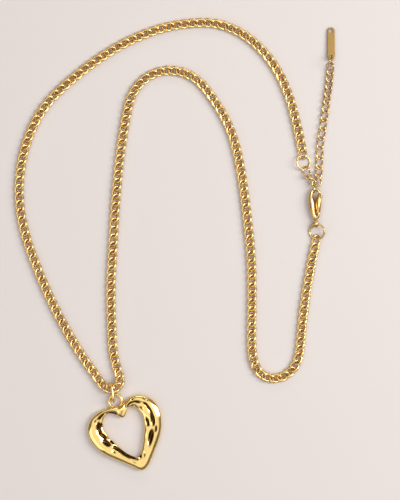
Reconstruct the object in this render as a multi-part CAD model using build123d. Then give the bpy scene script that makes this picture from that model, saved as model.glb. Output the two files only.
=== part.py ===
"""Pendant necklace laid flat: a curb chain, an open heart pendant and a lobster clasp with an extender.

Units are millimetres, +Z is up and the necklace lies on the plane z = 0. +Y runs along its longest
extent, from the heart towards the end tag. The origin is below the middle of its bounding box.
"""
from build123d import *
import math
import os

# ---- driving dimensions ------------------------------------------------------------------------
CHAIN_WIRE = 0.62           # wire of the curb chain
CHAIN_END_RADIUS = 1.08     # wire centre line at a link's round end
CHAIN_STRAIGHT = 1.36       # between the two round ends of a link
CHAIN_TWIST = 30.0          # how far each end of a link is twisted out of its plane, degrees
CHAIN_PITCH = 2.30          # from one link to the next
CHAIN_HEIGHT = 0.86         # centre of the chain above the surface
FOLD_HEIGHT = 1.72          # the same where the chain passes over the bail ring's lower wire
LINKS_PER_SECTION = 16

EXTENDER_WIRE = 0.50
EXTENDER_END_RADIUS = 0.95
EXTENDER_STRAIGHT = 1.60
EXTENDER_TWIST = -25.0      # the extender is twisted the other way round
EXTENDER_HEIGHT = 0.68

RING_A_RADIUS, RING_A_WIRE = 2.07, 0.55     # jump ring between chain and extender
RING_B_RADIUS, RING_B_WIRE = 2.20, 0.65     # jump ring between chain and clasp
TAG_RING_RADIUS, TAG_RING_WIRE = 1.55, 0.44

BAIL_WIRE = 0.70
BAIL_ARC_RADIUS = 1.50      # wire centre line of the oval bail's two half circles
BAIL_STRAIGHT = 2.40
BAIL_POSE = ((-18.30, -42.40, 1.92), -82, 2.5, -6)     # centre, heading, pitch up, roll

LOOP_RADIUS, LOOP_WIRE = 1.87, 0.70
LOOP_CENTRE = Vector(-17.4, -45.0, 1.25)

HEART_THICKNESS = 2.60
HEART_EDGE = 0.35           # rounding of the heart's edges

CLASP_EYE = Vector(40.55, 6.30, 1.50)       # centre of the eye at the clasp's tail
CLASP_HEADING = 92.5        # from the eye to the hook, degrees
CLASP_THICKNESS = 2.20
CLASP_EDGE = 0.40
NOSE_THICKNESS = 0.90
CHEEK_GAP = 1.10            # between the two cheeks that hold the lever's root
ROOT_THICKNESS = 0.70
PIN_DIAMETER = 0.60
PIN_CLEARANCE = 0.03
SPRING_RADIUS, SPRING_WIRE = 0.46, 0.14      # the lever's torsion coil, round the pin
PIVOT = (0.95, 2.55)        # the lever's pivot, in the clasp's own plane

TAG_LENGTH, TAG_WIDTH, TAG_THICKNESS = 9.8, 2.2, 0.6
TAG_HOLE = 1.2
TAG_CENTRE = (45.0, 58.3, 0.70)
TAG_SLOPE = -3.6            # the near end lies on its ring

RING_A_POSE = ((36.95, 24.10, 1.10), 90.5, -4, 20)     # centre, heading, pitch up, roll
RING_B_POSE = ((40.85, 4.05, 1.25), 91, 7.5, -22)
TAG_RING_POSE = ((44.87, 53.27, 1.76), 91, 0, 75)

# ---- the chain's route: control points of one smooth curve, laid loosely on the surface ----------
ROUTE = [
    (36.9, 25.6), (36.3, 29.5), (34.7, 36.5), (32.6, 44.2), (28.6, 52.6), (21.5, 60.4),
    (12.5, 64.7), (2.0, 64.3), (-7.5, 62.0), (-18.5, 56.8), (-29.8, 48.6), (-38.6, 40.2),
    (-43.6, 29.8), (-45.6, 18.5), (-44.9, 7.5), (-41.6, -3.0), (-36.2, -16.0), (-30.0, -27.6),
    (-25.4, -34.6), (-22.3, -38.8),
    (-20.8, -41.0), (-18.2, -42.0), (-16.1, -40.7), (-15.7, -38.4),
    (-17.2, -35.4), (-18.3, -30.5), (-18.6, -22.0), (-18.9, -12.0), (-18.2, -1.0), (-17.5, 12.0),
    (-16.3, 25.0), (-14.6, 36.5), (-12.6, 45.4), (-5.0, 51.2), (4.8, 50.0), (11.2, 42.4),
    (16.5, 32.8), (19.2, 20.5), (20.7, 8.0), (22.0, -4.0), (22.1, -16.0), (21.9, -27.0),
    (22.2, -33.8), (25.2, -38.4), (31.4, -38.6), (35.6, -34.0), (36.3, -26.0), (37.4, -15.5),
    (39.4, -4.5), (40.9, 2.4),
]
FOLD_POINTS = range(20, 24)     # the points of the sharp fold that carries the pendant

# ---- the heart: the outer outline, then the opening ----------------------------------------------
HEART_OUTER = [
    (-15.7, -46.4), (-19.3, -46.9), (-22.9, -48.2), (-25.4, -51.2), (-25.2, -55.4), (-22.9, -58.7),
    (-18.6, -61.4), (-13.6, -63.4), (-9.6, -65.3), (-7.7, -63.6), (-5.9, -59.2), (-4.3, -54.6),
    (-4.0, -50.0), (-5.5, -45.4), (-9.6, -43.2), (-13.3, -44.0),
]
HEART_OPENING = [
    (-15.8, -48.9), (-18.6, -48.3), (-20.9, -50.6), (-20.5, -54.0), (-17.6, -57.0), (-13.8, -60.4),
    (-10.3, -61.0), (-9.2, -56.0), (-9.1, -51.0), (-10.5, -47.6), (-13.2, -46.5),
]

# ---- the extender: centre, heading and lift of each link -------------------------------------------
EXTENDER_LINKS = [
    # x, y, z, heading, pitch up, roll
    (37.95, 21.05, 1.15, -69, 6.5, 4.5),
    (39.10, 18.88, 1.75, -48, 10, 59),
    (40.15, 17.10, 1.55, 86, 6, 60),        # hooked in the clasp
    (41.11, 18.86, 1.20, 89, -10.5, -29),
    (41.45, 21.25, 0.68, 86, 0, 0),
    (41.60, 24.05, 0.68, 88, 0, 0),
    (41.70, 26.85, 0.68, 87, 0, 0),
    (41.90, 29.65, 0.68, 84, 0, 0),
    (42.30, 32.40, 0.68, 80, 0, 0),
    (42.75, 35.10, 0.68, 81, 0, 0),
    (43.10, 37.75, 0.68, 82, 0, 0),
    (43.45, 40.30, 0.68, 82, 0, 0),
    (43.80, 42.60, 0.68, 84, 0, 0),
    (44.10, 44.75, 0.68, 82, 0, 0),
    (44.40, 46.95, 0.68, 84, 0, 0),
    (44.60, 49.10, 0.68, 84, 0, 0),
    (44.80, 51.20, 0.75, 86.5, 3, 0),
]


def direction(degrees):
    return Vector(math.cos(math.radians(degrees)), math.sin(math.radians(degrees)), 0)


def wire_ring(arcs, wire):
    """A closed piece of round wire: one swept solid for each arc of its centre line, joined."""
    pieces = [sweep(Plane(origin=arc @ 0, z_dir=arc % 0) * Circle(wire / 2), path=arc) for arc in arcs]
    return pieces[0].fuse(*pieces[1:])


def curb_link(wire, radius, straight, twist):
    """A twisted link along X: its two round ends are turned opposite ways about X."""
    c, s = math.cos(math.radians(twist)), math.sin(math.radians(twist))
    e = straight / 2
    across, lift = radius * c, radius * s
    right = [Vector(e, -across, -lift), Vector(e + radius, 0, 0), Vector(e, across, lift)]
    left = [Vector(-e, across, -lift), Vector(-e - radius, 0, 0), Vector(-e, -across, lift)]

    def side(start, end, tangent):
        middle = (start + end) * 0.5
        first = Edge.make_tangent_arc(start, tangent, middle)
        return [first, Edge.make_tangent_arc(middle, first % 1, end)]

    arcs = [Edge.make_three_point_arc(*right)] + side(right[2], left[0], Vector(-1, 0, 0))
    arcs += [Edge.make_three_point_arc(*left)] + side(left[2], right[0], Vector(1, 0, 0))
    return wire_ring(arcs, wire)


def jump_ring(radius, wire):
    """A round ring of wire in the XY plane."""
    return Solid.make_torus(radius, wire / 2)


def placed(shape, centre, heading, pitch_up=0.0, roll=0.0):
    """The shape with its X axis turned to the heading, lifted by pitch_up and rolled about itself."""
    turn = Location((0, 0, 0), (0, 0, heading)) * Location((0, 0, 0), (0, -pitch_up, 0))
    return shape.moved(Location(tuple(centre)) * turn * Location((0, 0, 0), (roll, 0, 0)))


def route_curve(steps=24):
    """Points along the route: a quadratic B-spline, which touches the middle of each leg."""
    points = []
    for i, (x, y) in enumerate(ROUTE):
        points.append(Vector(x, y, FOLD_HEIGHT if i in FOLD_POINTS else CHAIN_HEIGHT))
    curve = [points[0]]
    for i in range(1, len(points) - 1):
        start = points[0] if i == 1 else (points[i - 1] + points[i]) * 0.5
        end = points[-1] if i == len(points) - 2 else (points[i] + points[i + 1]) * 0.5
        for k in range(1, steps + 1):
            t = k / steps
            curve.append(start * (1 - t) ** 2 + points[i] * (2 * t * (1 - t)) + end * t ** 2)
    return curve


def walk(curve, pitch):
    """The points of a curve that lie one pitch apart, in a straight line from each to the next."""
    stops = [curve[0]]
    for a, b in zip(curve, curve[1:]):
        while (b - stops[-1]).length >= pitch:
            low, high = 0.0, 1.0
            for _ in range(30):
                middle = (low + high) / 2
                if (a + (b - a) * middle - stops[-1]).length < pitch:
                    low = middle
                else:
                    high = middle
            stops.append(a + (b - a) * high)
    return stops


def chain_links(link, stops):
    """One link between each stop and the next."""
    links = []
    for a, b in zip(stops, stops[1:]):
        run = b - a
        heading = math.degrees(math.atan2(run.Y, run.X))
        pitch_up = math.degrees(math.asin(run.Z / run.length))
        links.append(placed(link, (a + b) * 0.5, heading, pitch_up))
    return links


def heart(loop):
    outer = Face(Wire([Edge.make_spline([Vector(*p) for p in HEART_OUTER], periodic=True)]))
    opening = Face(Wire([Edge.make_spline([Vector(*p) for p in HEART_OPENING], periodic=True)]))
    band = extrude(outer - opening, HEART_THICKNESS)
    return fillet(rims(band), HEART_EDGE) - loop


def bail():
    """The oval ring of wire that hangs the pendant on the chain, standing on its edge."""
    r, e = BAIL_ARC_RADIUS, BAIL_STRAIGHT / 2
    right = [Vector(e, 0, -r), Vector(e + r, 0, 0), Vector(e, 0, r)]
    left = [Vector(-e, 0, r), Vector(-e - r, 0, 0), Vector(-e, 0, -r)]
    arcs = [Edge.make_three_point_arc(*right), Edge.make_line(right[2], left[0])]
    arcs += [Edge.make_three_point_arc(*left), Edge.make_line(left[2], right[0])]
    return placed(wire_ring(arcs, BAIL_WIRE), *BAIL_POSE)


def in_clasp(shape):
    """From the clasp's own plane, with +Y towards the hook and the eye at the origin, to its place."""
    return placed(shape, CLASP_EYE, CLASP_HEADING - 90)


def plate(outline, thickness):
    """A flat piece of the given thickness, half above and half below the clasp's middle plane."""
    return extrude(Pos(0, 0, -thickness / 2) * outline, thickness)


def corners(*points):
    """The flat face with straight sides between the given corners."""
    return make_face(Polyline(*points, close=True))


def rims(plate_solid):
    """The edges round the lower and the upper face."""
    groups = plate_solid.edges().group_by(Axis.Z)
    return groups[0] + groups[-1]


def clasp():
    """The clasp's casting, its lever, pin and spring, each in its place."""
    outline = make_face(Spline(
        (0.0, 1.0), (0.95, 1.7), (1.55, 3.6), (2.10, 6.2), (1.75, 9.0), (0.9, 10.35), (-0.4, 10.55),
        (-1.45, 9.7), (-2.0, 7.6), (-1.95, 5.4), (-1.35, 3.0), (-0.95, 1.7), periodic=True))
    opening = make_face(Spline(
        (-0.05, 4.0), (0.60, 5.4), (0.85, 7.6), (0.60, 9.1), (0.0, 9.5), (-0.75, 9.1),
        (-1.05, 7.6), (-0.80, 5.6), periodic=True))
    tall = CLASP_THICKNESS * 2
    blank = plate(outline, CLASP_THICKNESS)
    blank = fillet(rims(blank), CLASP_EDGE) - plate(opening, tall)
    for side in (1, -1):        # the hook thins towards its nose
        blank -= Pos(0, 10.9, side * (NOSE_THICKNESS / 2 + 1)) * Box(6, 4.2, 2)

    # the right arm, from the mouth down to the root between the two cheeks, is the lever
    arm = plate(corners((0.0, 4.1), (0.0, 8.65), (2.6, 8.65), (2.6, 3.9), (1.0, 3.9)), tall)
    slot = plate(corners((0.1, 4.4), (0.0, 1.9), (2.6, 1.9), (2.6, 4.4)), CHEEK_GAP)
    bore = Pos(*PIVOT) * Cylinder(PIN_DIAMETER / 2, tall)
    eye = Rot(0, 90, 0) * Solid.make_torus(0.92, 0.34)
    body = blank - arm - slot - bore + eye

    reach = plate(corners((0.1, 4.5), (0.1, 8.55), (2.6, 8.55), (2.6, 4.0), (1.1, 4.0)), tall)
    root = plate(corners((0.25, 4.6), (0.25, 2.05), (2.6, 2.05), (2.6, 4.6)), ROOT_THICKNESS)
    knob = Pos(2.05, 7.7, 0) * Sphere(0.45)
    lever = (blank & (reach + root)) + knob
    lever -= Pos(*PIVOT) * Cylinder(PIN_DIAMETER / 2 + PIN_CLEARANCE, tall)
    pin = Pos(*PIVOT) * Cylinder(PIN_DIAMETER / 2, CLASP_THICKNESS - 0.1)
    coil = Solid.make_torus(SPRING_RADIUS, SPRING_WIRE / 2)
    spring = Pos(*PIVOT, (CHEEK_GAP + ROOT_THICKNESS) / 4) * coil
    return [in_clasp(piece) for piece in (body, lever, pin, spring)]


def tag():
    """The flat end tag: a slim bar with round ends and a hole in each."""
    bar = SlotOverall(TAG_LENGTH, TAG_WIDTH)
    holes = [Pos(x, 0) * Circle(TAG_HOLE / 2) for x in (1.1 - TAG_LENGTH / 2, TAG_LENGTH / 2 - 1.1)]
    blank = plate(bar, TAG_THICKNESS)
    blank = fillet(rims(blank), 0.15) - plate(Sketch() + holes, TAG_THICKNESS * 2)
    return placed(blank, TAG_CENTRE, 90, TAG_SLOPE)


def write(node, *shapes):
    """One STEP file for a node, of one or more separate solids."""
    solids = [solid for shape in shapes for solid in shape.solids()]
    whole = solids[0] if len(solids) == 1 else Compound(label=node, children=solids)
    whole.label = node
    export_step(whole, f"parts/{node}.step")


def main():
    os.makedirs("parts", exist_ok=True)
    stops = walk(route_curve(), CHAIN_PITCH)
    links = chain_links(curb_link(CHAIN_WIRE, CHAIN_END_RADIUS, CHAIN_STRAIGHT, CHAIN_TWIST), stops)
    for n, first in enumerate(range(0, len(links), LINKS_PER_SECTION), start=1):
        write(f"chain_section_{n:02d}", *links[first:first + LINKS_PER_SECTION])

    ring_a = placed(jump_ring(RING_A_RADIUS, RING_A_WIRE), *RING_A_POSE)
    ring_b = placed(jump_ring(RING_B_RADIUS, RING_B_WIRE), *RING_B_POSE)
    write("extender_ring", ring_a)
    write("clasp_ring", ring_b)

    link = curb_link(EXTENDER_WIRE, EXTENDER_END_RADIUS, EXTENDER_STRAIGHT, EXTENDER_TWIST)
    for n, (x, y, z, heading, pitch_up, roll) in enumerate(EXTENDER_LINKS, start=1):
        write(f"extender_link_{n:02d}", placed(link, (x, y, z), heading, pitch_up, roll))
    write("tag_ring", placed(jump_ring(TAG_RING_RADIUS, TAG_RING_WIRE), *TAG_RING_POSE))
    write("end_tag", tag())

    loop = placed(jump_ring(LOOP_RADIUS, LOOP_WIRE), LOOP_CENTRE, 0)
    write("heart_loop", loop)
    write("heart", heart(loop))
    write("bail_ring", bail())
    for name, piece in zip(("clasp_body", "clasp_lever", "clasp_pin", "clasp_spring"), clasp()):
        write(name, piece)


if __name__ == "__main__":
    main()
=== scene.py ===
"""Necklace looks: gold-plated curb chain, cast heart pendant, lobster clasp, extender and end tag."""
import math

import bmesh
import bpy
from bpy.props import FloatProperty, FloatVectorProperty, IntProperty, PointerProperty
from mathutils import Matrix, Vector


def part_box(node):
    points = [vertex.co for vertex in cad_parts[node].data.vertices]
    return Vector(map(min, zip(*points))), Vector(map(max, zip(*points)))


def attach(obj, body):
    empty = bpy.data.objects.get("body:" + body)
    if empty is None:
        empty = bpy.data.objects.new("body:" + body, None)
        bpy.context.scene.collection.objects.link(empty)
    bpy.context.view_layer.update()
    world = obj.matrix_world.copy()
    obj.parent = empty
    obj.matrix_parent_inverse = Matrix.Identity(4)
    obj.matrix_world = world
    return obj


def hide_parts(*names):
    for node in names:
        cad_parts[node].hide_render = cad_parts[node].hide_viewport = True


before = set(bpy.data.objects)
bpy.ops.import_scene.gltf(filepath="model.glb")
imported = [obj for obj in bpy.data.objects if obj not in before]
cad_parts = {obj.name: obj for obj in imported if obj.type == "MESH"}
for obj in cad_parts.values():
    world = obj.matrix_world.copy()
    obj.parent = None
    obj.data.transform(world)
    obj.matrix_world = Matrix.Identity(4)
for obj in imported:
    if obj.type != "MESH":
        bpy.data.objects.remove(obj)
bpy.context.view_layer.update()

bl_info = {
    "name": "Pendant Necklace",
    "version": (1, 0, 0),
    "blender": (4, 5, 0),
    "location": "View3D > Sidebar > Necklace",
    "description": "Builds a gold-plated curb chain necklace with an open heart pendant",
    "category": "Add Mesh",
}

MM = 0.001

# The chain's route, in metres: control points of one smooth curve, laid loosely on the surface.
CHAIN_ROUTE = [(x * MM, y * MM) for x, y in (
    (36.9, 25.6), (36.3, 29.5), (34.7, 36.5), (32.6, 44.2), (28.6, 52.6), (21.5, 60.4),
    (12.5, 64.7), (2.0, 64.3), (-7.5, 62.0), (-18.5, 56.8), (-29.8, 48.6), (-38.6, 40.2),
    (-43.6, 29.8), (-45.6, 18.5), (-44.9, 7.5), (-41.6, -3.0), (-36.2, -16.0), (-30.0, -27.6),
    (-25.4, -34.6), (-22.3, -38.8),
    (-20.8, -41.0), (-18.2, -42.0), (-16.1, -40.7), (-15.7, -38.4),
    (-17.2, -35.4), (-18.3, -30.5), (-18.6, -22.0), (-18.9, -12.0), (-18.2, -1.0), (-17.5, 12.0),
    (-16.3, 25.0), (-14.6, 36.5), (-12.6, 45.4), (-5.0, 51.2), (4.8, 50.0), (11.2, 42.4),
    (16.5, 32.8), (19.2, 20.5), (20.7, 8.0), (22.0, -4.0), (22.1, -16.0), (21.9, -27.0),
    (22.2, -33.8), (25.2, -38.4), (31.4, -38.6), (35.6, -34.0), (36.3, -26.0), (37.4, -15.5),
    (39.4, -4.5), (40.9, 2.4),
)]
FOLD_POINTS = range(20, 24)
CHAIN_HEIGHT = 0.86 * MM
FOLD_HEIGHT = 1.72 * MM

# The heart, in millimetres: (outer point, opening point) pairs round the band.
HEART_PAIRS = (
    ((-15.6, -46.2), (-15.7, -50.0)), ((-17.6, -46.6), (-17.2, -48.8)), ((-20.6, -47.2), (-19.2, -48.3)),
    ((-23.7, -48.9), (-20.9, -49.9)), ((-25.6, -52.1), (-21.2, -52.4)), ((-25.2, -55.6), (-20.0, -54.8)),
    ((-23.0, -58.7), (-18.2, -56.6)), ((-19.8, -60.9), (-16.4, -58.3)), ((-16.0, -62.4), (-14.4, -60.0)),
    ((-12.4, -63.9), (-12.4, -61.0)), ((-9.6, -65.4), (-10.8, -61.4)), ((-7.7, -63.6), (-9.9, -60.0)),
    ((-6.3, -60.0), (-9.4, -57.2)), ((-4.8, -56.2), (-9.1, -54.2)), ((-3.9, -52.2), (-8.9, -51.4)),
    ((-4.2, -48.2), (-9.6, -48.9)), ((-6.0, -44.9), (-10.9, -47.2)), ((-9.3, -43.1), (-12.4, -46.3)),
    ((-12.6, -43.3), (-13.9, -46.8)), ((-14.6, -45.0), (-14.5, -49.4)),
)

# Hollows (positive) and knobs (negative) hammered into the band: place round the heart and across the
# band, half length and half width in the same measures, and depth as a part of half the thickness.
HEART_HOLLOWS = (
    (0.186, 0.27, 0.034, 0.12, 0.42), (0.165, 0.08, 0.010, 0.10, 0.26), (0.232, 0.17, 0.014, 0.12, 0.34),
    (0.270, 0.31, 0.022, 0.13, 0.44), (0.276, 0.06, 0.018, 0.07, 0.24), (0.330, 0.46, 0.010, 0.06, 0.24),
    (0.322, 0.16, 0.020, 0.12, 0.40), (0.345, 0.30, 0.010, 0.10, -0.08), (0.398, 0.10, 0.050, 0.16, 0.46),
    (0.440, 0.42, 0.016, 0.09, 0.12), (0.475, 0.25, 0.014, 0.12, -0.10), (0.500, 0.06, 0.014, 0.12, 0.22),
    (0.535, 0.28, 0.010, 0.10, 0.14), (0.590, 0.50, 0.018, 0.08, 0.12), (0.626, 0.47, 0.028, 0.13, 0.48),
    (0.662, 0.70, 0.015, 0.07, 0.28), (0.686, 0.19, 0.021, 0.09, 0.40), (0.700, 0.52, 0.026, 0.10, 0.48),
    (0.762, 0.55, 0.036, 0.07, 0.40), (0.770, 0.18, 0.012, 0.07, 0.18), (0.806, 0.84, 0.009, 0.06, 0.18),
    (0.834, 0.42, 0.030, 0.08, 0.36), (0.832, 0.10, 0.012, 0.07, 0.20), (0.868, 0.72, 0.010, 0.08, 0.24),
    (0.886, 0.42, 0.020, 0.10, 0.38), (0.930, 0.70, 0.011, 0.11, 0.16), (0.985, 0.45, 0.018, 0.35, -0.12),
    (0.045, 0.16, 0.030, 0.17, 0.40), (0.118, 0.38, 0.022, 0.11, 0.36), (0.110, 0.80, 0.012, 0.08, 0.22),
    (0.150, 0.60, 0.010, 0.12, 0.18),
)

# The clasp's casting and lever, in the clasp's own plane with the eye's centre at 0, 0, in millimetres:
# where the limb's middle runs, its half width and its half height.
CLASP_BODY = (
    (0.00, 0.85, 0.62, 0.44), (0.00, 1.35, 0.74, 0.66), (-0.30, 2.05, 0.72, 0.86), (-0.66, 2.95, 0.62, 0.98),
    (-0.80, 4.10, 0.86, 1.04), (-0.98, 5.60, 0.95, 1.06), (-1.06, 7.00, 0.90, 1.00),
    (-1.17, 8.20, 0.64, 0.84),
    (-0.82, 9.42, 0.54, 0.64), (0.00, 9.98, 0.52, 0.54), (0.92, 9.84, 0.50, 0.52), (1.38, 9.20, 0.44, 0.48),
    (1.45, 8.86, 0.42, 0.46), (1.46, 8.76, 0.34, 0.38),
)
CLASP_CHEEK = (
    (0.35, 1.35, 0.40, 0.50), (0.66, 1.95, 0.56, 0.80), (0.88, 2.70, 0.60, 0.92), (0.94, 3.30, 0.50, 0.86),
    (0.94, 3.62, 0.30, 0.62),
)
CLASP_LEVER = (
    (0.74, 2.60, 0.34, 0.40), (0.84, 3.30, 0.64, 0.80), (0.90, 4.50, 0.80, 1.02), (1.02, 6.10, 0.93, 1.06),
    (1.12, 7.20, 0.88, 0.96), (1.34, 8.15, 0.58, 0.72), (1.42, 8.55, 0.48, 0.54), (1.43, 8.68, 0.38, 0.42),
)
THUMB_KNOB = ((1.70, 7.50, 0.40, 0.44), (2.05, 7.85, 0.36, 0.38), (2.20, 8.00, 0.30, 0.32))

# Each jump ring: its name, the CAD piece and body it stands for, radius of the wire's centre line, wire,
# centre, then heading, lift and roll, and where round the ring its cut lies, in millimetres and degrees.
JUMP_RINGS = (
    ("extender_jump_ring", "extender_ring", "ring_a", 2.07, 0.50, (36.95, 24.10, 1.10), (90.5, -4, 20), 75),
    ("clasp_jump_ring", "clasp_ring", "ring_b", 2.20, 0.65, (40.85, 4.05, 1.25), (91, 7.5, -22), -80),
    ("tag_jump_ring", "tag_ring", "tag_loop", 1.55, 0.44, (44.87, 53.27, 1.76), (91, 0, 75), 100),
)


# ---- settings ------------------------------------------------------------------------------------
class NecklaceMetal(bpy.types.PropertyGroup):
    """Colours and finish of the plating."""
    gold: FloatVectorProperty(name="Gold", description="Polished plating", subtype="COLOR", size=3,
                              default=(0.92, 0.67, 0.29), min=0, max=1)
    heart_gold: FloatVectorProperty(name="Heart gold", description="Cast pendant", subtype="COLOR", size=3,
                                    default=(0.97, 0.71, 0.27), min=0, max=1)
    clasp_gold: FloatVectorProperty(name="Clasp gold", description="Clasp and jump rings", subtype="COLOR",
                                    size=3, default=(0.73, 0.53, 0.24), min=0, max=1)
    extender_gold: FloatVectorProperty(name="Extender gold", description="Extender links", subtype="COLOR",
                                       size=3, default=(0.76, 0.55, 0.27), min=0, max=1)
    tag_gold: FloatVectorProperty(name="Tag gold", description="Satin end tag", subtype="COLOR", size=3,
                                  default=(0.40, 0.26, 0.095), min=0, max=1)
    floor: FloatVectorProperty(name="Floor", description="Floor and backdrop", subtype="COLOR", size=3,
                               default=(0.725, 0.685, 0.68), min=0, max=1)


class NecklaceSizes(bpy.types.PropertyGroup):
    """Sizes of the links and of the pendant's relief."""
    pitch: FloatProperty(name="Pitch", description="From one link to the next", default=2.30 * MM,
                         unit="LENGTH", precision=5)
    wire: FloatProperty(name="Wire", description="Wire of the curb chain", default=0.78 * MM,
                        unit="LENGTH", precision=5)
    end_radius: FloatProperty(name="End radius", description="Wire centre line at a link's end",
                              default=1.08 * MM, unit="LENGTH", precision=5)
    straight: FloatProperty(name="Straight", description="Between a link's two ends", default=1.36 * MM,
                            unit="LENGTH", precision=5)
    twist: FloatProperty(name="Twist", description="Turn of each end of a link out of its plane",
                         default=math.radians(30), subtype="ANGLE", unit="ROTATION")
    heart_stations: IntProperty(name="Stations", description="Sections round the heart's band", default=200,
                                min=40)


# ---- shared making -------------------------------------------------------------------------------
def link_to_scene(name, mesh):
    piece = bpy.data.objects.new(name, mesh)
    bpy.context.scene.collection.objects.link(piece)
    return piece


def finish_mesh(name, bm, smooth=True):
    """The bmesh as an object at the origin, with its faces pointing outwards."""
    bmesh.ops.remove_doubles(bm, verts=bm.verts, dist=1e-7)
    bmesh.ops.recalc_face_normals(bm, faces=bm.faces)
    mesh = bpy.data.meshes.new(name)
    bm.to_mesh(mesh)
    bm.free()
    mesh.polygons.foreach_set("use_smooth", [smooth] * len(mesh.polygons))
    return link_to_scene(name, mesh)


def route_points():
    """Points along the chain's own NURBS spline."""
    curve = bpy.data.curves.new("chain_route", "CURVE")
    curve.dimensions = "3D"
    curve.resolution_u = ROUTE_FINENESS
    spline = curve.splines.new("NURBS")
    spline.points.add(len(CHAIN_ROUTE) - 1)
    for i, (point, (x, y)) in enumerate(zip(spline.points, CHAIN_ROUTE)):
        point.co = (x, y, FOLD_HEIGHT if i in FOLD_POINTS else CHAIN_HEIGHT, 1)
    spline.order_u = 3
    spline.use_endpoint_u = True
    holder = bpy.data.objects.new("chain_route", curve)
    mesh = bpy.data.meshes.new_from_object(holder)
    points = [v.co.copy() for v in mesh.vertices]
    bpy.data.objects.remove(holder)
    bpy.data.curves.remove(curve)
    bpy.data.meshes.remove(mesh)
    return points


def walk(points, pitch):
    """The points that lie one pitch apart, in a straight line from each to the next."""
    stops = [points[0]]
    for a, b in zip(points, points[1:]):
        while (b - stops[-1]).length >= pitch:
            low, high = 0.0, 1.0
            for _ in range(HALVINGS):
                middle = (low + high) / 2
                if (a.lerp(b, middle) - stops[-1]).length < pitch:
                    low = middle
                else:
                    high = middle
            stops.append(a.lerp(b, high))
    return stops


def wire_mesh(points, radius, sides):
    """A closed piece of round wire through the points, swept by a bevelled curve."""
    curve = bpy.data.curves.new("wire", "CURVE")
    curve.dimensions = "3D"
    curve.twist_mode = "MINIMUM"
    curve.bevel_depth = radius
    curve.bevel_resolution = (sides - 4) // 2
    spline = curve.splines.new("POLY")
    spline.points.add(len(points) - 1)
    for point, co in zip(spline.points, points):
        point.co = (*co, 1)
    spline.use_cyclic_u = True
    holder = bpy.data.objects.new("wire", curve)
    mesh = bpy.data.meshes.new_from_object(holder)
    bpy.data.objects.remove(holder)
    bpy.data.curves.remove(curve)
    return mesh


def curb_line(radius, straight, twist, count):
    """Centre line of a curb link along X, its two round ends turned opposite ways about X."""
    points = []
    half = straight / 2
    for k in range(count):
        angle = 2 * math.pi * k / count
        x, y = math.cos(angle), math.sin(angle)
        turn = twist * max(-1.0, min(1.0, x / TWIST_ZONE))
        along = half * max(-1.0, min(1.0, x / SIDE_ZONE)) + radius * x * abs(x) ** END_ROUNDING
        points.append(Vector((along, radius * y * math.cos(turn), radius * y * math.sin(turn))))
    return points


# ---- shader node groups --------------------------------------------------------------------------
def plating_group():
    """Uneven tone and gloss of electroplated metal, with fine polishing marks."""
    tree = bpy.data.node_groups.new("Plating", "ShaderNodeTree")
    sockets = tree.interface
    for name, kind, value in (("Tone", "NodeSocketColor", (0.8, 0.6, 0.3, 1)),
                              ("Shadow tone", "NodeSocketColor", (0.4, 0.2, 0.05, 1)),
                              ("Gloss", "NodeSocketFloat", 0.15), ("Unevenness", "NodeSocketFloat", 0.1),
                              ("Scale", "NodeSocketFloat", 900.0), ("Marks", "NodeSocketFloat", 0.1)):
        socket = sockets.new_socket(name, in_out="INPUT", socket_type=kind)
        socket.default_value = value
    for name, kind in (("Color", "NodeSocketColor"), ("Roughness", "NodeSocketFloat"),
                       ("Height", "NodeSocketFloat")):
        sockets.new_socket(name, in_out="OUTPUT", socket_type=kind)
    nodes, links = tree.nodes, tree.links
    start, end = nodes.new("NodeGroupInput"), nodes.new("NodeGroupOutput")
    place = nodes.new("ShaderNodeTexCoord")
    cloud, fine = nodes.new("ShaderNodeTexNoise"), nodes.new("ShaderNodeTexNoise")
    for texture, detail, rough in ((cloud, 3.0, 0.55), (fine, 2.0, 0.6)):
        links.new(place.outputs["Object"], texture.inputs["Vector"])
        texture.inputs["Detail"].default_value = detail
        texture.inputs["Roughness"].default_value = rough
    links.new(start.outputs["Scale"], cloud.inputs["Scale"])
    finer = nodes.new("ShaderNodeMath")
    finer.operation = "MULTIPLY"
    finer.inputs[1].default_value = 9.0
    links.new(start.outputs["Scale"], finer.inputs[0])
    links.new(finer.outputs[0], fine.inputs["Scale"])
    blend = nodes.new("ShaderNodeMix")
    blend.data_type = "RGBA"
    amount = nodes.new("ShaderNodeMapRange")
    amount.inputs["From Min"].default_value = 0.42
    amount.inputs["From Max"].default_value = 0.78
    links.new(cloud.outputs["Fac"], amount.inputs["Value"])
    links.new(start.outputs["Unevenness"], amount.inputs["To Max"])
    links.new(amount.outputs["Result"], blend.inputs[0])
    links.new(start.outputs["Tone"], blend.inputs[6])
    links.new(start.outputs["Shadow tone"], blend.inputs[7])
    links.new(blend.outputs[2], end.inputs["Color"])
    gloss = nodes.new("ShaderNodeMath")
    gloss.operation = "MULTIPLY_ADD"
    links.new(fine.outputs["Fac"], gloss.inputs[0])
    links.new(start.outputs["Marks"], gloss.inputs[1])
    links.new(start.outputs["Gloss"], gloss.inputs[2])
    links.new(gloss.outputs[0], end.inputs["Roughness"])
    links.new(fine.outputs["Fac"], end.inputs["Height"])
    return tree


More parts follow.
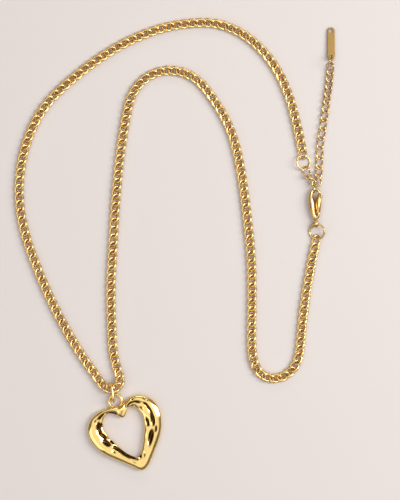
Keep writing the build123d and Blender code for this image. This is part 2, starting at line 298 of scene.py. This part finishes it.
def metal_material(name, tone, shadow, gloss, unevenness, scale, marks, bump):
    """A plated metal: the plating group feeds one metallic shader."""
    material = bpy.data.materials.new(name)
    material.use_nodes = True
    nodes, links = material.node_tree.nodes, material.node_tree.links
    shader = nodes["Principled BSDF"]
    shader.inputs["Metallic"].default_value = 1.0
    group = nodes.new("ShaderNodeGroup")
    group.node_tree = bpy.data.node_groups.get("Plating") or plating_group()
    group.inputs["Tone"].default_value = (*tone, 1)
    group.inputs["Shadow tone"].default_value = (*shadow, 1)
    for socket, value in (("Gloss", gloss), ("Unevenness", unevenness), ("Scale", scale), ("Marks", marks)):
        group.inputs[socket].default_value = value
    links.new(group.outputs["Color"], shader.inputs["Base Color"])
    links.new(group.outputs["Roughness"], shader.inputs["Roughness"])
    relief = nodes.new("ShaderNodeBump")
    relief.inputs["Strength"].default_value = bump
    relief.inputs["Distance"].default_value = MARK_DEPTH
    links.new(group.outputs["Height"], relief.inputs["Height"])
    links.new(relief.outputs["Normal"], shader.inputs["Normal"])
    return material


def finish_named(name):
    """The necklace's finishes, each made once."""
    if name in bpy.data.materials:
        return bpy.data.materials[name]
    metal = bpy.context.scene.necklace_metal
    # tone, tone of the cloudy patches, gloss, how cloudy, cloud scale, polishing marks, their relief
    recipes = {
        "polished_gold": (metal.gold, (0.62, 0.34, 0.09), 0.13, 0.5, 500.0, 0.12, 0.25),
        "heart_gold": (metal.heart_gold, (0.72, 0.44, 0.15), 0.07, 0.35, 260.0, 0.07, 0.12),
        "clasp_gold": (metal.clasp_gold, (0.50, 0.28, 0.08), 0.12, 0.6, 700.0, 0.12, 0.25),
        "extender_gold": (metal.extender_gold, (0.50, 0.29, 0.09), 0.15, 0.6, 600.0, 0.14, 0.25),
        "satin_gold": (metal.tag_gold, (0.40, 0.22, 0.06), 0.26, 0.5, 300.0, 0.16, 0.4),
        "spring_steel": ((0.45, 0.45, 0.46), (0.2, 0.2, 0.2), 0.3, 0.3, 600.0, 0.1, 0.2),
    }
    return metal_material(name, *recipes[name])


def gold_with_painted_shade():
    """The heart's gold with painted shade darkening the hammered hollows."""
    material = finish_named("heart_gold").copy()
    material.name = "heart_gold_painted_shade"
    nodes, links = material.node_tree.nodes, material.node_tree.links
    shader = nodes["Principled BSDF"]
    bare = shader.inputs["Base Color"].links[0].from_socket
    depth, spread, mix = (nodes.new(kind) for kind in
                          ("ShaderNodeAttribute", "ShaderNodeMapRange", "ShaderNodeMix"))
    depth.attribute_name = "painted_shade_amount"
    spread.interpolation_type = "SMOOTHSTEP"
    spread.inputs["From Min"].default_value, spread.inputs["From Max"].default_value = PAINTED_SHADE_EDGE
    mix.data_type = "RGBA"
    links.new(depth.outputs["Fac"], spread.inputs["Value"])
    links.new(spread.outputs["Result"], mix.inputs[0])
    links.new(bare, mix.inputs[6])
    # painted shade: a dark colour mixed over the gold where the hollows are deep
    mix.inputs[7].default_value = PAINTED_SHADE_TONE
    links.new(mix.outputs[2], shader.inputs["Base Color"])
    return material


def dress(node, finish):
    """Gives a CAD piece its finish."""
    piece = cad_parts[node]
    piece.data.materials.clear()
    piece.data.materials.append(finish_named(finish))


# ---- operators -----------------------------------------------------------------------------------
class NECKLACE_OT_camera(bpy.types.Operator):
    """Places the camera straight above the laid necklace"""
    bl_idname = "necklace.camera"
    bl_label = "Camera"

    def execute(self, context):
        data = bpy.data.cameras.new("camera")
        data.sensor_width = SENSOR
        data.lens = SENSOR * CAMERA_HEIGHT / VIEW_HEIGHT
        data.clip_start = 0.01
        camera = bpy.data.objects.new("camera", data)
        camera.location = (*VIEW_CENTRE, CAMERA_HEIGHT)
        context.scene.collection.objects.link(camera)
        context.scene.camera = camera
        return {"FINISHED"}


class NECKLACE_OT_chain(bpy.types.Operator):
    """Makes the curb chain, link by link, along its route"""
    bl_idname = "necklace.chain"
    bl_label = "Curb chain"

    def execute(self, context):
        sizes = context.scene.necklace_sizes
        route = route_points()
        stops = walk(route, sizes.pitch)
        line = curb_line(sizes.end_radius, sizes.straight, sizes.twist, LINK_STEPS)
        link = wire_mesh(line, sizes.wire / 2, LINK_SIDES)
        end_link = wire_mesh(line, END_LINK_WIRE / 2, LINK_SIDES)
        bm = bmesh.new()
        for k, (a, b) in enumerate(zip(stops, stops[1:])):
            first = len(bm.verts)
            bm.from_mesh(end_link if k in (0, len(stops) - 2) else link)
            bm.verts.ensure_lookup_table()
            x_axis = (b - a).normalized()
            y_axis = Vector((0, 0, 1)).cross(x_axis).normalized()
            turn = Matrix((x_axis, y_axis, x_axis.cross(y_axis))).transposed().to_4x4()
            bmesh.ops.transform(bm, matrix=Matrix.Translation((a + b) / 2) @ turn, verts=bm.verts[first:])
        for mesh in (link, end_link):
            bpy.data.meshes.remove(mesh)
        chain = finish_mesh("curb_chain", bm)
        chain.data.materials.append(finish_named("polished_gold"))
        sections = sorted(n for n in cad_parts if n.startswith("chain_section_"))
        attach(chain, "chain")
        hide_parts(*sections)
        return {"FINISHED"}


class NECKLACE_OT_heart(bpy.types.Operator):
    """Makes the cast heart, an open band with a smooth outer face and a knobbly inner ridge"""
    bl_idname = "necklace.heart"
    bl_label = "Heart pendant"

    def execute(self, context):
        low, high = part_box("heart")
        stations = context.scene.necklace_sizes.heart_stations
        outer = closed_curve([pair[0] for pair in HEART_PAIRS], stations)
        inner = closed_curve([pair[1] for pair in HEART_PAIRS], stations)
        middle, half = (low[2] + high[2]) / 2, (high[2] - low[2]) / 2
        bm = bmesh.new()
        rings = []
        painted_shade_amount = bm.verts.layers.float.new("painted_shade_amount")
        for k, (o, i) in enumerate(zip(outer, inner)):
            made = bmesh.ops.create_circle(bm, segments=HEART_SIDES, radius=1.0)["verts"]
            for vert in made:
                angle = math.atan2(vert.co.y, vert.co.x)
                across = band_across(angle)
                hollow = hollow_depth(across, k / len(outer))
                lift = half * band_height(angle, k / len(outer), hollow)
                vert.co = i + (o - i) * across + Vector((0, 0, middle + lift))
                # painted shade: how dark the upper face is painted, taken from its hollow's depth
                vert[painted_shade_amount] = max(0.0, hollow) if lift > 0 else 0.0
            rings.append(made)
        for ring, following in zip(rings, rings[1:] + rings[:1]):
            bridge_rings(bm, ring, following)
        heart = finish_mesh("cast_heart", bm)
        heart.data.materials.append(gold_with_painted_shade())
        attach(heart, "pendant")
        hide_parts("heart")
        return {"FINISHED"}


class NECKLACE_OT_clasp(bpy.types.Operator):
    """Makes the lobster clasp: the cast hook with its eye, and the sprung lever with its thumb knob"""
    bl_idname = "necklace.clasp"
    bl_label = "Lobster clasp"

    def execute(self, context):
        bm = bmesh.new()
        limb(bm, CLASP_BODY)
        limb(bm, CLASP_CHEEK)
        ring = bmesh.ops.create_circle(bm, segments=8, radius=CLASP_EYE_WIRE)["verts"]
        bmesh.ops.translate(bm, verts=ring, vec=(CLASP_EYE_RADIUS, 0, 0))
        bmesh.ops.rotate(bm, verts=ring, cent=(0, 0, 0), matrix=Matrix.Rotation(math.pi / 2, 3, "X"))
        edges = [e for e in bm.edges if all(v in ring for v in e.verts)]
        bmesh.ops.spin(bm, geom=ring + edges, cent=(0, 0, 0), axis=(0, 0, 1), angle=2 * math.pi, steps=16,
                       use_merge=True)
        eye = list(linked_verts(ring[0]))
        bmesh.ops.rotate(bm, verts=eye, cent=(0, 0, 0), matrix=Matrix.Rotation(math.pi / 2, 3, "Y"))
        bmesh.ops.scale(bm, verts=eye, vec=(CLASP_EYE_WIDENING, 1, 1))
        body = clasp_piece("clasp_casting", bm)
        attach(body, "clasp")
        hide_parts("clasp_body")
        bm = bmesh.new()
        limb(bm, CLASP_LEVER)
        limb(bm, THUMB_KNOB)
        lever = clasp_piece("clasp_trigger", bm)
        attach(lever, "lever")
        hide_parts("clasp_lever")
        return {"FINISHED"}


class NECKLACE_OT_jump_rings(bpy.types.Operator):
    """Makes the round jump rings, each bent from a length of wire whose cut ends meet"""
    bl_idname = "necklace.jump_rings"
    bl_label = "Jump rings"

    def execute(self, context):
        for name, node, body, radius, wire, centre, turns, cut in JUMP_RINGS:
            bm = bmesh.new()
            section = bmesh.ops.create_circle(bm, segments=12, radius=wire / 2, cap_ends=False)["verts"]
            bmesh.ops.rotate(bm, verts=section, cent=(0, 0, 0), matrix=Matrix.Rotation(math.pi / 2, 3, "X"))
            bmesh.ops.translate(bm, verts=section, vec=(radius, 0, 0))
            edges = list({e for v in section for e in v.link_edges})
            gap = RING_CUT / radius
            spun = bmesh.ops.spin(bm, geom=section + edges, cent=(0, 0, 0), axis=(0, 0, 1),
                                  angle=2 * math.pi - gap, steps=RING_STEPS)
            last = [v for v in spun["geom_last"] if isinstance(v, bmesh.types.BMVert)]
            for rim in (section, last):
                face = bmesh.ops.contextual_create(bm, geom=rim)["faces"]
                bmesh.ops.bevel(bm, geom=list(face[0].edges), offset=wire * 0.12, affect="EDGES", segments=2,
                                profile=0.5, material=-1)
            heading, pitch_up, roll = (math.radians(turn) for turn in turns)
            place = (Matrix.Translation(centre) @ Matrix.Rotation(heading, 4, "Z")
                     @ Matrix.Rotation(-pitch_up, 4, "Y") @ Matrix.Rotation(roll, 4, "X")
                     @ Matrix.Rotation(math.radians(cut), 4, "Z") @ Matrix.Scale(MM, 4))
            place.translation = Vector(centre) * MM
            bmesh.ops.transform(bm, matrix=place, verts=bm.verts)
            ring = finish_mesh(name, bm)
            ring.data.materials.append(finish_named("clasp_gold"))
            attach(ring, body)
            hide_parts(node)
        return {"FINISHED"}


class NECKLACE_OT_findings(bpy.types.Operator):
    """Finishes the bail, the heart's loop, the extender links and the tag"""
    bl_idname = "necklace.findings"
    bl_label = "Findings"

    def execute(self, context):
        finishes = {"end_tag": "satin_gold", "clasp_spring": "spring_steel", "clasp_pin": "clasp_gold",
                    "heart_loop": "heart_gold", "bail_ring": "polished_gold"}
        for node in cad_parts:
            if node.startswith("extender_link_"):
                dress(node, "extender_gold")
            elif node in finishes:
                dress(node, finishes[node])
        return {"FINISHED"}


class NECKLACE_OT_stage(bpy.types.Operator):
    """Sets the pale floor, the soft studio lights and the sky"""
    bl_idname = "necklace.stage"
    bl_label = "Stage"

    def execute(self, context):
        scene = context.scene
        bm = bmesh.new()
        bmesh.ops.create_grid(bm, x_segments=1, y_segments=1, size=FLOOR_SIZE / 2)
        floor = finish_mesh("floor", bm, smooth=False)
        material = bpy.data.materials.new("floor_paper")
        material.use_nodes = True
        shader = material.node_tree.nodes["Principled BSDF"]
        shader.inputs["Base Color"].default_value = (*scene.necklace_metal.floor, 1)
        shader.inputs["Roughness"].default_value = 0.9
        floor.data.materials.append(material)

        for name, where, size, power, colour in LIGHTS:
            data = bpy.data.lights.new(name, "AREA")
            data.shape = "RECTANGLE"
            data.size, data.size_y = size
            data.energy = power
            data.color = colour
            light = bpy.data.objects.new(name, data)
            light.location = where
            light.rotation_euler = (Vector((0, 0, 0)) - Vector(where)).to_track_quat("-Z", "Y").to_euler()
            scene.collection.objects.link(light)

        world = bpy.data.worlds.new("sky")
        world.use_nodes = True
        nodes, links = world.node_tree.nodes, world.node_tree.links
        place = nodes.new("ShaderNodeTexCoord")
        split = nodes.new("ShaderNodeSeparateXYZ")
        ramp = nodes.new("ShaderNodeValToRGB")
        links.new(place.outputs["Generated"], split.inputs[0])
        links.new(split.outputs["Z"], ramp.inputs[0])
        stops = ramp.color_ramp.elements
        stops[0].position, stops[0].color = 0.0, (0.035, 0.025, 0.02, 1)
        stops[1].position, stops[1].color = 1.0, (0.95, 0.93, 0.92, 1)
        for position, level in SKY_STOPS:
            stops.new(position).color = (level, level * 0.96, level * 0.93, 1)
        links.new(ramp.outputs["Color"], nodes["Background"].inputs["Color"])
        nodes["Background"].inputs["Strength"].default_value = SKY_STRENGTH
        scene.world = world
        scene.view_settings.view_transform = "Standard"
        return {"FINISHED"}


class NECKLACE_PT_panel(bpy.types.Panel):
    """Lists the necklace's settings and makers"""
    bl_idname = "NECKLACE_PT_panel"
    bl_label = "Pendant necklace"
    bl_space_type = "VIEW_3D"
    bl_region_type = "UI"
    bl_category = "Necklace"

    def draw(self, context):
        for group in (context.scene.necklace_metal, context.scene.necklace_sizes):
            for name in group.bl_rna.properties.keys():
                if name not in ("rna_type", "name"):
                    self.layout.prop(group, name)
        for maker in MAKERS:
            self.layout.operator(maker.bl_idname)


# ---- the clasp's limbs ---------------------------------------------------------------------------
def limb(bm, stations):
    """A rounded casting through the stations: one oval section at each, square to the way it runs."""
    rings = []
    for k, (x, y, wide, high) in enumerate(stations):
        before, after = stations[max(k - 1, 0)], stations[min(k + 1, len(stations) - 1)]
        way = Vector((after[0] - before[0], after[1] - before[1], 0)).normalized()
        across = Vector((way.y, -way.x, 0))
        ring = bmesh.ops.create_circle(bm, segments=LIMB_SIDES, radius=1.0)["verts"]
        up = Vector((0, 0, 1))
        stretch = Matrix((across * wide * LIMB_SWELL, up * high * LIMB_SWELL, way)).transposed().to_4x4()
        bmesh.ops.transform(bm, matrix=Matrix.Translation((x, y, 0)) @ stretch, verts=ring)
        rings.append(ring)
    for ring, following in zip(rings, rings[1:]):
        bridge_rings(bm, ring, following)
    for ring in (rings[0], rings[-1]):
        bmesh.ops.contextual_create(bm, geom=ring)


def linked_verts(vert):
    """The vertices joined to this one, itself among them."""
    found, ahead = {vert}, [vert]
    while ahead:
        for edge in ahead.pop().link_edges:
            for other in edge.verts:
                if other not in found:
                    found.add(other)
                    ahead.append(other)
    return found


def clasp_piece(name, bm):
    """The bmesh, drawn in the clasp's own plane in millimetres, put in its place and smoothed."""
    place = Matrix.Translation(CLASP_EYE) @ Matrix.Rotation(CLASP_TURN, 4, "Z") @ Matrix.Scale(MM, 4)
    bmesh.ops.transform(bm, matrix=place, verts=bm.verts)
    piece = finish_mesh(name, bm)
    smoother = piece.modifiers.new("smooth", "SUBSURF")
    smoother.levels = smoother.render_levels = 2
    piece.data.materials.append(finish_named("clasp_gold"))
    return piece


# ---- the heart's band ----------------------------------------------------------------------------
def closed_curve(points, count):
    """Evenly numbered points along the closed NURBS spline of the given points, in metres."""
    curve = bpy.data.curves.new("outline", "CURVE")
    curve.dimensions = "3D"
    curve.resolution_u = count // len(points)
    spline = curve.splines.new("NURBS")
    spline.points.add(len(points) - 1)
    for point, (x, y) in zip(spline.points, points):
        point.co = (x * MM, y * MM, 0, 1)
    spline.order_u = 3
    spline.use_cyclic_u = True
    holder = bpy.data.objects.new("outline", curve)
    mesh = bpy.data.meshes.new_from_object(holder)
    line = [v.co.copy() for v in mesh.vertices]
    bpy.data.objects.remove(holder)
    bpy.data.curves.remove(curve)
    bpy.data.meshes.remove(mesh)
    return line


def bridge_rings(bm, ring, following):
    """Joins two rings of vertices with a band of faces."""
    edges = []
    for verts in (ring, following):
        edges += [bm.edges.get((a, b)) for a, b in zip(verts, verts[1:] + verts[:1])]
    bmesh.ops.bridge_loops(bm, edges=edges)


def band_across(angle):
    """Where a section's point lies between the opening, 0, and the outer outline, 1."""
    c = math.cos(angle)
    return 0.5 + 0.5 * math.copysign(abs(c) ** 0.85, c)


def bump_at(turn, across, centre, where, length, width):
    """A soft oval patch on the band: 1 in its middle, 0 away from it."""
    along = (turn - centre + 0.5) % 1 - 0.5
    return math.exp(-abs(along / length) ** 2.6 - abs((across - where) / width) ** 2.6)


def hollow_depth(across, turn):
    """How deep the hammered hollows are at a place on the band; knobs count below 0."""
    return sum(depth * bump_at(turn, across, centre, where, length, width)
               for centre, where, length, width, depth in HEART_HOLLOWS)


def band_height(angle, turn, hollow):
    """Height of a section's point, -1 to 1: flat below, crowned and softly uneven above."""
    s = math.sin(angle)
    if s < 0:
        return -abs(s) ** 0.45
    across = band_across(angle)
    around = 2 * math.pi * turn
    wave = math.sin(around * 11 + 4 * across) + 0.6 * math.sin(around * 19 + 2.2 - 5 * across)
    crown = 0.80 + 0.16 * math.exp(-((across - 0.68) / 0.24) ** 2) + 0.03 * wave * (1.1 - across)
    crown += 0.05 * math.sin(around * 4 + 0.6) * across
    return s ** 0.55 * (crown - hollow)


# ---- sizes and settings --------------------------------------------------------------------------
VIEW_HEIGHT = 0.145
VIEW_CENTRE = (0.00705, -0.0013)
CAMERA_HEIGHT = 0.50
SENSOR = 36.0                # width of the camera's sensor, millimetres
FLOOR_SIZE = 3.0
ROUTE_FINENESS = 24          # points between two of the route's control points
HALVINGS = 24                # narrows down the place of each link
LINK_STEPS = 12
LINK_SIDES = 6
TWIST_ZONE, SIDE_ZONE = 0.55, 0.42    # parts of a link's half length that hold its twist and its sides
END_ROUNDING = 0.25          # flattens a link's round ends a little
END_LINK_WIRE = 0.62 * MM    # a thinner link joins a jump ring
HEART_SIDES = 56
PAINTED_SHADE_TONE = (0.055, 0.026, 0.006, 1)    # painted shade in the heart's hollows
PAINTED_SHADE_EDGE = (0.07, 0.19)   # hollow depth at which the painted shade begins, and at which it is full
MARK_DEPTH = 0.02 * MM       # polishing marks
RING_STEPS = 48
RING_CUT = 0.06            # gap between a jump ring's cut ends, millimetres
LIMB_SIDES = 10
LIMB_SWELL = 1.07         # makes up for what the smoothing takes off a section
CLASP_EYE = (40.55 * MM, 6.30 * MM, 1.50 * MM)
CLASP_TURN = math.radians(2.5)
CLASP_EYE_RADIUS, CLASP_EYE_WIRE = 0.94, 0.30
CLASP_EYE_WIDENING = 2.0
SKY_STRENGTH = 1.15
SKY_STOPS = ((0.08, 0.28), (0.16, 0.04), (0.30, 0.03), (0.37, 0.48), (0.44, 0.45), (0.50, 0.04), (0.62, 0.05),
             (0.74, 0.55), (0.88, 0.92))
LIGHTS = (
    ("key", (0.36, 0.06, 0.40), (0.16, 0.40), 1.8, (1.0, 0.97, 0.92)),
    ("fill", (-0.36, -0.26, 0.36), (0.34, 0.34), 0.40, (1.0, 0.97, 0.94)),
    ("back", (0.05, 0.55, 0.30), (0.40, 0.12), 0.45, (1.0, 0.96, 0.90)),
)

PROPERTY_GROUPS = (NecklaceMetal, NecklaceSizes)
MAKERS = (NECKLACE_OT_camera, NECKLACE_OT_chain, NECKLACE_OT_heart, NECKLACE_OT_clasp,
          NECKLACE_OT_jump_rings, NECKLACE_OT_findings, NECKLACE_OT_stage)


def register():
    for cls in PROPERTY_GROUPS + MAKERS + (NECKLACE_PT_panel,):
        bpy.utils.register_class(cls)
    bpy.types.Scene.necklace_metal = PointerProperty(type=NecklaceMetal)
    bpy.types.Scene.necklace_sizes = PointerProperty(type=NecklaceSizes)


def unregister():
    del bpy.types.Scene.necklace_sizes
    del bpy.types.Scene.necklace_metal
    for cls in reversed(PROPERTY_GROUPS + MAKERS + (NECKLACE_PT_panel,)):
        bpy.utils.unregister_class(cls)


def main():
    register()
    for maker in MAKERS:
        group, name = maker.bl_idname.split(".")
        getattr(getattr(bpy.ops, group), name)()


if __name__ == "__main__":
    main()
